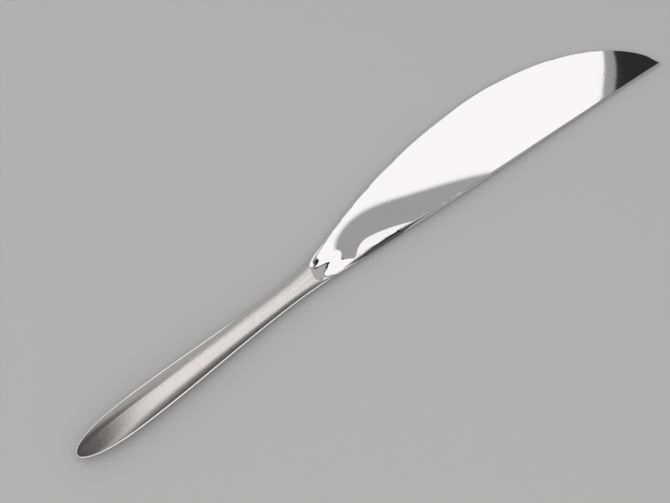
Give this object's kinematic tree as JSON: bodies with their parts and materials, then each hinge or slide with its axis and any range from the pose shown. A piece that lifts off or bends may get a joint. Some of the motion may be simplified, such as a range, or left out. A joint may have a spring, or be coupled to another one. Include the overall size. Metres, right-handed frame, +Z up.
{
  "type": "cake knife",
  "caption": "Cake knife with a broad curved polished blade, a tapered bolster and a slim hollow satin steel handle that comes to a point.",
  "frame": {"origin": "middle of the knife's footprint, on the surface that it lies on", "axes": "+X along the knife from the handle to the tip, +Y towards the cutting edge, +Z up as the knife lies on its side"},
  "size_m": [0.2798, 0.039, 0.0062],
  "materials": {
    "blade_steel": "mirror polished hardened stainless steel",
    "handle_steel": "satin stainless steel, brushed along the handle",
    "braze": "silver braze dressed flush with the steel",
    "cement": "cast resin cement"
  },
  "bodies": {
    "root": {"blade": "blade_steel", "handle_upper_shell": "handle_steel", "handle_lower_shell": "handle_steel", "seam_braze": "braze", "handle_cement": "cement"}
  },
  "joints": []
}
